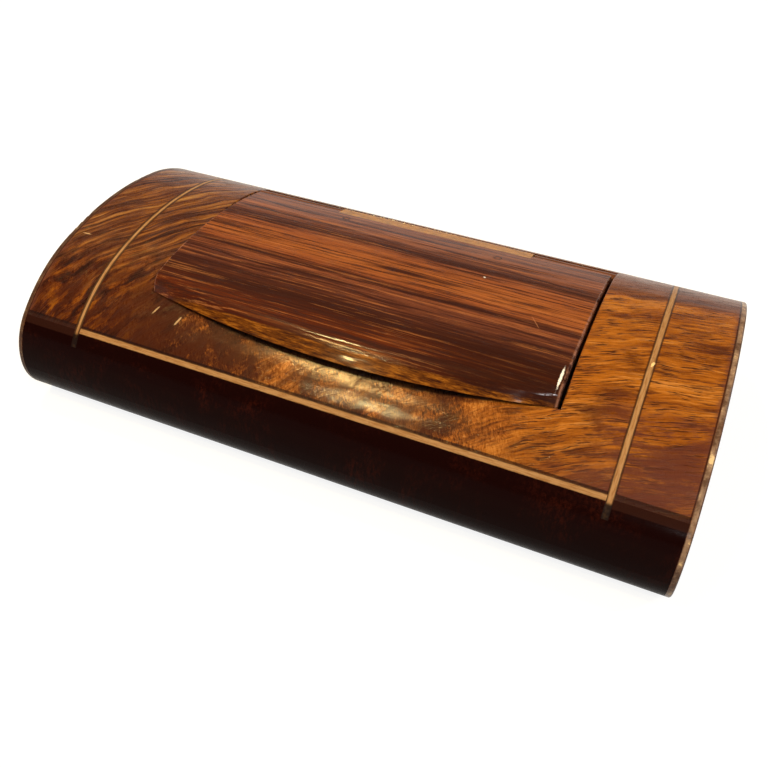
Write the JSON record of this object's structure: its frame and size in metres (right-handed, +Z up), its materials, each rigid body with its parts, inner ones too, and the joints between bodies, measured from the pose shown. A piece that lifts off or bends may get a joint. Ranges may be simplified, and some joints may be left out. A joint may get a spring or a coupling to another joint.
{
  "type": "snuff box",
  "caption": "Hump-backed veneered wooden snuff box with boxwood stringing, a bowed thumb lip and an inset lid on a pinned wooden hinge.",
  "frame": {"origin": "middle of the flat underside, on the surface that the box stands on", "axes": "+X along the box, +Y towards the hinge at the back, +Z up; the lid opens at the front, -Y"},
  "size_m": [0.1, 0.054, 0.0231],
  "materials": {
    "carcass_wood": "oiled",
    "walnut_veneer": "french polish",
    "dark_veneer": "french polish",
    "boxwood": "french polish",
    "end_veneer": "french polish",
    "tin_foil": "dull",
    "knuckle_wood": "french polish",
    "brass": "worn",
    "lid_wood": "french polish",
    "lid_knuckle_wood": "french polish",
    "peg_wood": "french polish"
  },
  "bodies": {
    "box": {"bottom_board": "carcass_wood", "front_rail": "carcass_wood", "back_rail": "carcass_wood", "end_block_left": "carcass_wood", "end_block_right": "carcass_wood", "top_veneer": "walnut_veneer", "front_veneer": "dark_veneer", "back_veneer": "dark_veneer", "string_left": "boxwood", "string_right": "boxwood", "string_front": "boxwood", "string_back": "boxwood", "end_plate_left": "end_veneer", "end_plate_right": "end_veneer", "foil_lining": "tin_foil", "hinge_knuckle_left": "knuckle_wood", "hinge_knuckle_right": "knuckle_wood", "hinge_pin": "brass"},
    "lid": {"lid_board": "lid_wood", "lid_knuckle": "lid_knuckle_wood", "lid_pegs": "peg_wood"}
  },
  "joints": [
    {"name": "lid_hinge", "type": "hinge", "parent": "box", "child": "lid", "pos_m": [0, 0.0158, 0.01834], "axis": [-1, 0, 0], "range_deg": [0, 100]}
  ]
}
